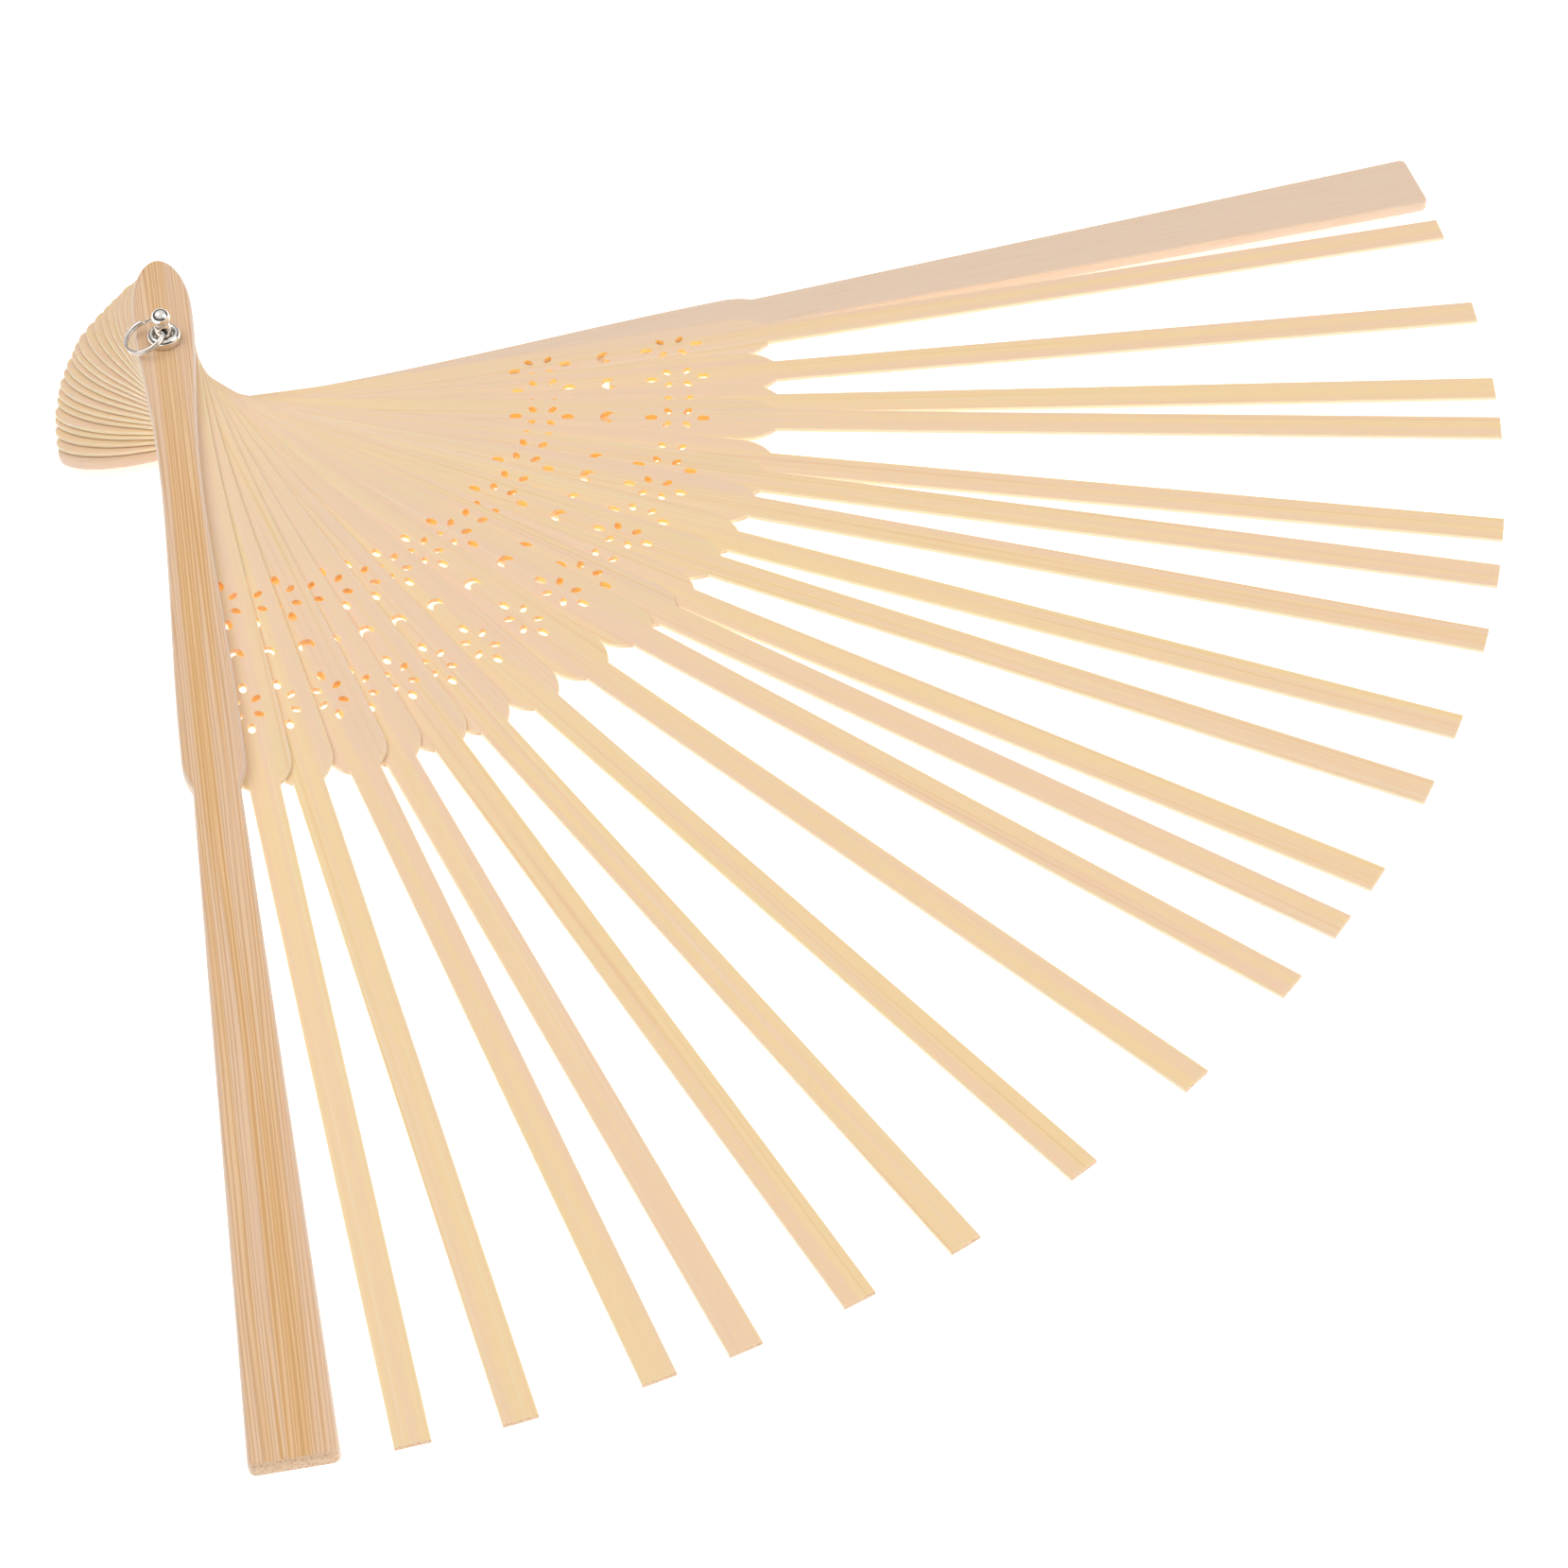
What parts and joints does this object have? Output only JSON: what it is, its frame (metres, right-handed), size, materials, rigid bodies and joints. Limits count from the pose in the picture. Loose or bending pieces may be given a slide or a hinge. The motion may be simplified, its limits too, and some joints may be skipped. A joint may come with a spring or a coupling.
{
  "type": "folding fan frame",
  "caption": "Part-open folding fan frame of flat bamboo sticks with pierced flower pattern, two wide guards and a metal rivet with ball knob and split ring; no leaf.",
  "frame": {"origin": "centre of the rivet's flat rear face", "axes": "+Z along the rivet from the rear guard to the front guard; at rest the rear guard points 5 degrees past +X and the front guard points along -Y"},
  "size_m": [0.2104, 0.2146, 0.0262],
  "materials": {
    "rib_bamboo": "sanded bare bamboo",
    "guard_bamboo": "sanded bare bamboo with a stronger grain",
    "nickel": "polished nickel plate"
  },
  "bodies": {
    "rear_guard": {"rear_guard": "guard_bamboo"},
    "front_guard": {"front_guard": "guard_bamboo"},
    "rib_01": {"rib_01": "rib_bamboo"},
    "rib_02": {"rib_02": "rib_bamboo"},
    "rib_03": {"rib_03": "rib_bamboo"},
    "rib_04": {"rib_04": "rib_bamboo"},
    "rib_05": {"rib_05": "rib_bamboo"},
    "rib_06": {"rib_06": "rib_bamboo"},
    "rib_07": {"rib_07": "rib_bamboo"},
    "rib_08": {"rib_08": "rib_bamboo"},
    "rib_09": {"rib_09": "rib_bamboo"},
    "rib_10": {"rib_10": "rib_bamboo"},
    "rib_11": {"rib_11": "rib_bamboo"},
    "rib_12": {"rib_12": "rib_bamboo"},
    "rib_13": {"rib_13": "rib_bamboo"},
    "rib_14": {"rib_14": "rib_bamboo"},
    "rib_15": {"rib_15": "rib_bamboo"},
    "rib_16": {"rib_16": "rib_bamboo"},
    "rib_17": {"rib_17": "rib_bamboo"},
    "rib_18": {"rib_18": "rib_bamboo"},
    "rib_19": {"rib_19": "rib_bamboo"},
    "rib_20": {"rib_20": "rib_bamboo"},
    "rivet": {"rivet_post": "nickel", "front_collar": "nickel", "rear_washer": "nickel", "rear_cap": "nickel"},
    "split_ring": {"split_ring": "nickel"}
  },
  "joints": [
    {"name": "fan_fold", "type": "hinge", "parent": "rear_guard", "child": "front_guard", "pos_m": [0, 0, 0.0195], "axis": [0, 0, 1], "range_deg": [-55, 95]},
    {"name": "rib_01_fold", "type": "hinge", "parent": "rear_guard", "child": "rib_01", "pos_m": [0, 0, 0.01804], "axis": [0, 0, 1], "range_deg": [-52.69, 91.01]},
    {"name": "rib_02_fold", "type": "hinge", "parent": "rear_guard", "child": "rib_02", "pos_m": [0, 0, 0.0173], "axis": [0, 0, 1], "range_deg": [-50.52, 87.26]},
    {"name": "rib_03_fold", "type": "hinge", "parent": "rear_guard", "child": "rib_03", "pos_m": [0, 0, 0.01656], "axis": [0, 0, 1], "range_deg": [-47.63, 82.26]},
    {"name": "rib_04_fold", "type": "hinge", "parent": "rear_guard", "child": "rib_04", "pos_m": [0, 0, 0.01582], "axis": [0, 0, 1], "range_deg": [-45.75, 79.01]},
    {"name": "rib_05_fold", "type": "hinge", "parent": "rear_guard", "child": "rib_05", "pos_m": [0, 0, 0.01508], "axis": [0, 0, 1], "range_deg": [-43.14, 74.51]},
    {"name": "rib_06_fold", "type": "hinge", "parent": "rear_guard", "child": "rib_06", "pos_m": [0, 0, 0.01434], "axis": [0, 0, 1], "range_deg": [-40.54, 70.01]},
    {"name": "rib_07_fold", "type": "hinge", "parent": "rear_guard", "child": "rib_07", "pos_m": [0, 0, 0.0136], "axis": [0, 0, 1], "range_deg": [-37.35, 64.51]},
    {"name": "rib_08_fold", "type": "hinge", "parent": "rear_guard", "child": "rib_08", "pos_m": [0, 0, 0.01286], "axis": [0, 0, 1], "range_deg": [-33.88, 58.51]},
    {"name": "rib_09_fold", "type": "hinge", "parent": "rear_guard", "child": "rib_09", "pos_m": [0, 0, 0.01212], "axis": [0, 0, 1], "range_deg": [-30.41, 52.51]},
    {"name": "rib_10_fold", "type": "hinge", "parent": "rear_guard", "child": "rib_10", "pos_m": [0, 0, 0.01138], "axis": [0, 0, 1], "range_deg": [-28.23, 48.76]},
    {"name": "rib_11_fold", "type": "hinge", "parent": "rear_guard", "child": "rib_11", "pos_m": [0, 0, 0.01064], "axis": [0, 0, 1], "range_deg": [-26.5, 45.76]},
    {"name": "rib_12_fold", "type": "hinge", "parent": "rear_guard", "child": "rib_12", "pos_m": [0, 0, 0.0099], "axis": [0, 0, 1], "range_deg": [-23.46, 40.51]},
    {"name": "rib_13_fold", "type": "hinge", "parent": "rear_guard", "child": "rib_13", "pos_m": [0, 0, 0.00916], "axis": [0, 0, 1], "range_deg": [-21.14, 36.51]},
    {"name": "rib_14_fold", "type": "hinge", "parent": "rear_guard", "child": "rib_14", "pos_m": [0, 0, 0.00842], "axis": [0, 0, 1], "range_deg": [-18.1, 31.26]},
    {"name": "rib_15_fold", "type": "hinge", "parent": "rear_guard", "child": "rib_15", "pos_m": [0, 0, 0.00768], "axis": [0, 0, 1], "range_deg": [-15.79, 27.26]},
    {"name": "rib_16_fold", "type": "hinge", "parent": "rear_guard", "child": "rib_16", "pos_m": [0, 0, 0.00694], "axis": [0, 0, 1], "range_deg": [-14.05, 24.26]},
    {"name": "rib_17_fold", "type": "hinge", "parent": "rear_guard", "child": "rib_17", "pos_m": [0, 0, 0.0062], "axis": [0, 0, 1], "range_deg": [-10.29, 17.76]},
    {"name": "rib_18_fold", "type": "hinge", "parent": "rear_guard", "child": "rib_18", "pos_m": [0, 0, 0.00546], "axis": [0, 0, 1], "range_deg": [-8.69, 15.01]},
    {"name": "rib_19_fold", "type": "hinge", "parent": "rear_guard", "child": "rib_19", "pos_m": [0, 0, 0.00472], "axis": [0, 0, 1], "range_deg": [-5.66, 9.76]},
    {"name": "rib_20_fold", "type": "hinge", "parent": "rear_guard", "child": "rib_20", "pos_m": [0, 0, 0.00398], "axis": [0, 0, 1], "range_deg": [-2.18, 3.76]},
    {"name": "rivet_spin", "type": "hinge", "parent": "rear_guard", "child": "rivet", "pos_m": [0, 0, 0.01], "axis": [0, 0, 1], "continuous": true},
    {"name": "ring_swing", "type": "hinge", "parent": "rivet", "child": "split_ring", "pos_m": [0, 0, 0.02308], "axis": [-0.1736, 0.9848, 0], "range_deg": [0, 216]}
  ],
  "couplings": [
    {"joint": "rib_01_fold", "follows": "fan_fold", "ratio": 0.9579},
    {"joint": "rib_02_fold", "follows": "fan_fold", "ratio": 0.91842},
    {"joint": "rib_03_fold", "follows": "fan_fold", "ratio": 0.86579},
    {"joint": "rib_04_fold", "follows": "fan_fold", "ratio": 0.83158},
    {"joint": "rib_05_fold", "follows": "fan_fold", "ratio": 0.78421},
    {"joint": "rib_06_fold", "follows": "fan_fold", "ratio": 0.73684},
    {"joint": "rib_07_fold", "follows": "fan_fold", "ratio": 0.67895},
    {"joint": "rib_08_fold", "follows": "fan_fold", "ratio": 0.61579},
    {"joint": "rib_09_fold", "follows": "fan_fold", "ratio": 0.55263},
    {"joint": "rib_10_fold", "follows": "fan_fold", "ratio": 0.51316},
    {"joint": "rib_11_fold", "follows": "fan_fold", "ratio": 0.48158},
    {"joint": "rib_12_fold", "follows": "fan_fold", "ratio": 0.42632},
    {"joint": "rib_13_fold", "follows": "fan_fold", "ratio": 0.38421},
    {"joint": "rib_14_fold", "follows": "fan_fold", "ratio": 0.32895},
    {"joint": "rib_15_fold", "follows": "fan_fold", "ratio": 0.28684},
    {"joint": "rib_16_fold", "follows": "fan_fold", "ratio": 0.25526},
    {"joint": "rib_17_fold", "follows": "fan_fold", "ratio": 0.18684},
    {"joint": "rib_18_fold", "follows": "fan_fold", "ratio": 0.1579},
    {"joint": "rib_19_fold", "follows": "fan_fold", "ratio": 0.10263},
    {"joint": "rib_20_fold", "follows": "fan_fold", "ratio": 0.039474}
  ]
}
